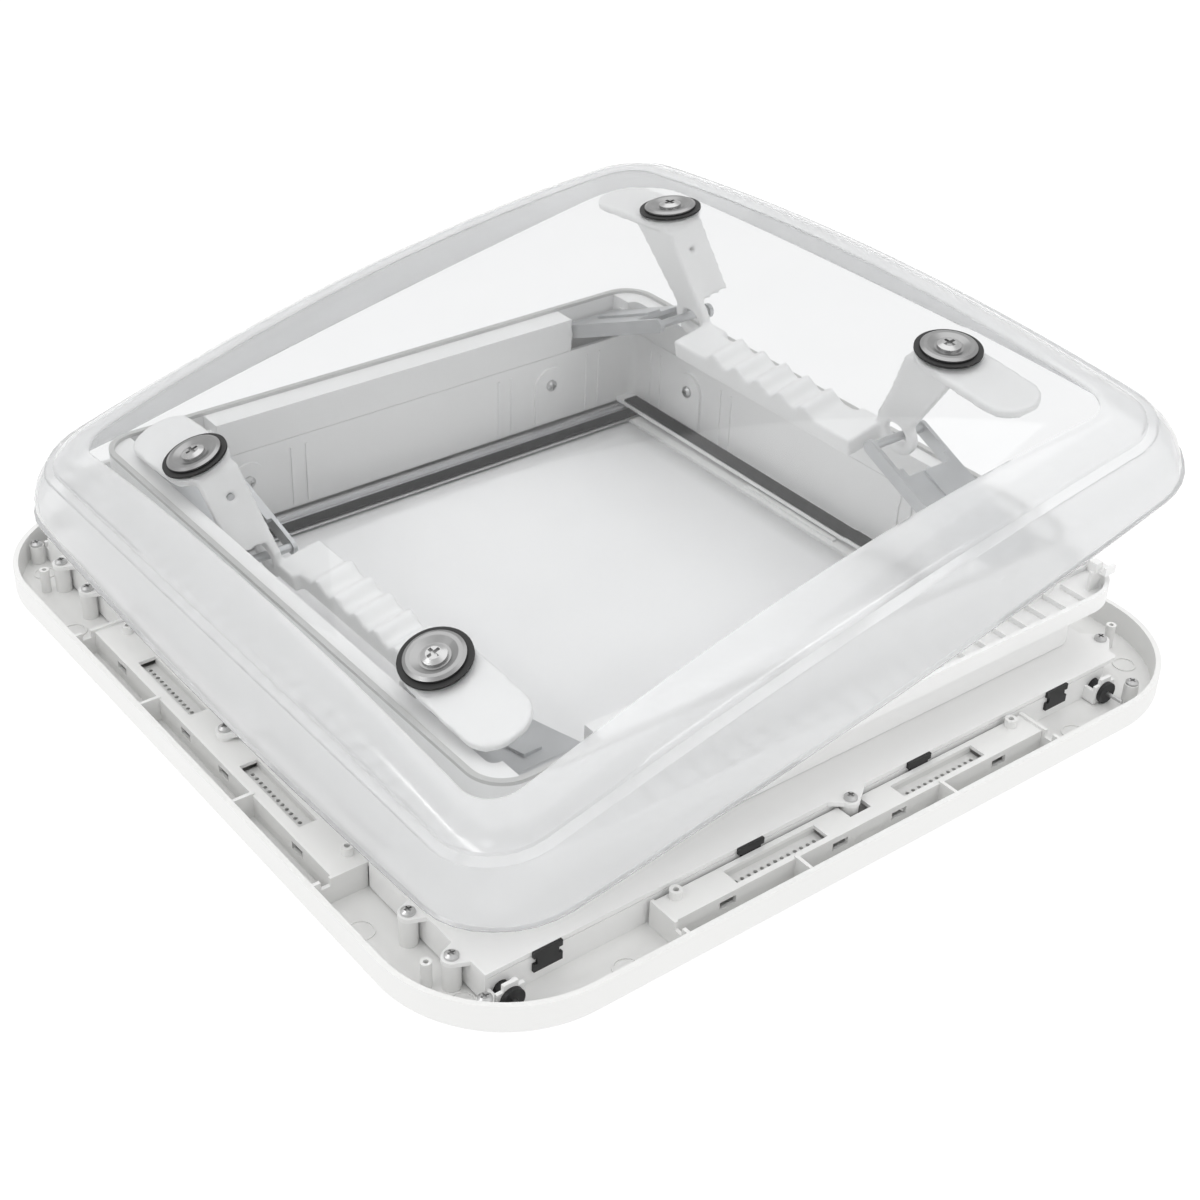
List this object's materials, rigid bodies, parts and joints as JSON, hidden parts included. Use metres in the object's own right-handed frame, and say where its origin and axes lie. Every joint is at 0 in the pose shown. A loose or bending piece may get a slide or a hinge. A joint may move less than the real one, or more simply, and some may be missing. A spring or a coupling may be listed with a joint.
{
  "type": "caravan roof vent",
  "caption": "Square roof vent with a clear domed lid that tilts or lifts on pressed-steel links, wavy grips, a clamped roof frame and a trim frame with roller blinds.",
  "frame": {"origin": "centre of the trim frame on the plane of its room-side face", "axes": "+Z points to the sky; +X points to the side that is raised here; +Y is the other side of the square, away from the camera"},
  "size_m": [0.498, 0.5094, 0.1837],
  "materials": {
    "white_abs": "satin",
    "acrylic": "clear gloss",
    "steel": "satin",
    "black_plastic": "matte",
    "rubber": "matte",
    "grey_rubber": "matte",
    "aluminium": "satin",
    "blackout_cloth": "matte",
    "screen_cloth": "matte"
  },
  "bodies": {
    "frames": {"trim_frame": "white_abs", "vent_strips": "white_abs", "roof_frame": "white_abs", "blind_frame": "white_abs", "weather_seal": "grey_rubber", "corner_hooks": "white_abs", "guide_rails": "aluminium", "pile_strips": "black_plastic", "rail_clips": "black_plastic", "ear_screws": "steel", "tab_screws": "steel", "cord_screws": "steel", "blackout_roller": "aluminium", "flyscreen_roller": "aluminium", "roller_plugs": "black_plastic", "roller_pins": "steel", "blackout_fabric": "blackout_cloth", "flyscreen_fabric": "screen_cloth", "link_base_pins": "white_abs"},
    "blackout_pull": {"blackout_bar": "white_abs"},
    "flyscreen_pull": {"flyscreen_bar": "white_abs"},
    "carrier": {"left_rocker_pins": "steel"},
    "dome": {"dome_shell": "acrylic", "left_handle": "white_abs", "right_handle": "white_abs", "cup_washers": "steel", "rubber_washers": "rubber", "dome_screws": "steel"},
    "near_left": {"link_near_left": "steel"},
    "far_left": {"link_far_left": "steel"},
    "near_right": {"link_near_right": "steel"},
    "far_right": {"link_far_right": "steel"}
  },
  "joints": [
    {"name": "raise_left_side", "type": "hinge", "parent": "frames", "child": "carrier", "pos_m": [0.1603, 0, 0.1072], "axis": [0, 1, 0], "range_deg": [0, 11.75]},
    {"name": "close_right_side", "type": "hinge", "parent": "carrier", "child": "dome", "pos_m": [-0.162, 0, 0.0907], "axis": [0, 1, 0], "range_deg": [0, 11.75]},
    {"name": "near_right_link", "type": "hinge", "parent": "frames", "child": "near_right", "pos_m": [0.15, -0.18, 0.0755], "axis": [1, 0, 0], "range_deg": [-39.75, 0.05]},
    {"name": "far_right_link", "type": "hinge", "parent": "frames", "child": "far_right", "pos_m": [0.15, 0.18, 0.0755], "axis": [1, 0, 0], "range_deg": [-0.05, 39.75]},
    {"name": "near_left_link", "type": "hinge", "parent": "frames", "child": "near_left", "pos_m": [-0.15, -0.18, 0.0755], "axis": [1, 0, 0], "range_deg": [-0.05, 38.76]},
    {"name": "far_left_link", "type": "hinge", "parent": "frames", "child": "far_left", "pos_m": [-0.15, 0.18, 0.0755], "axis": [1, 0, 0], "range_deg": [-38.76, 0.05]},
    {"name": "blackout_slide", "type": "slide", "parent": "frames", "child": "blackout_pull", "axis": [-1, 0, 0], "range_m": [0, 0.32], "deforming": ["blackout_fabric"]},
    {"name": "flyscreen_slide", "type": "slide", "parent": "frames", "child": "flyscreen_pull", "axis": [1, 0, 0], "range_m": [0, 0.32], "deforming": ["flyscreen_fabric"]}
  ],
  "couplings": [
    {"joint": "near_right_link", "follows": "close_right_side", "ratio": -3.379},
    {"joint": "far_right_link", "follows": "close_right_side", "ratio": 3.379},
    {"joint": "near_left_link", "follows": "raise_left_side", "ratio": 3.294},
    {"joint": "far_left_link", "follows": "raise_left_side", "ratio": -3.294}
  ]
}
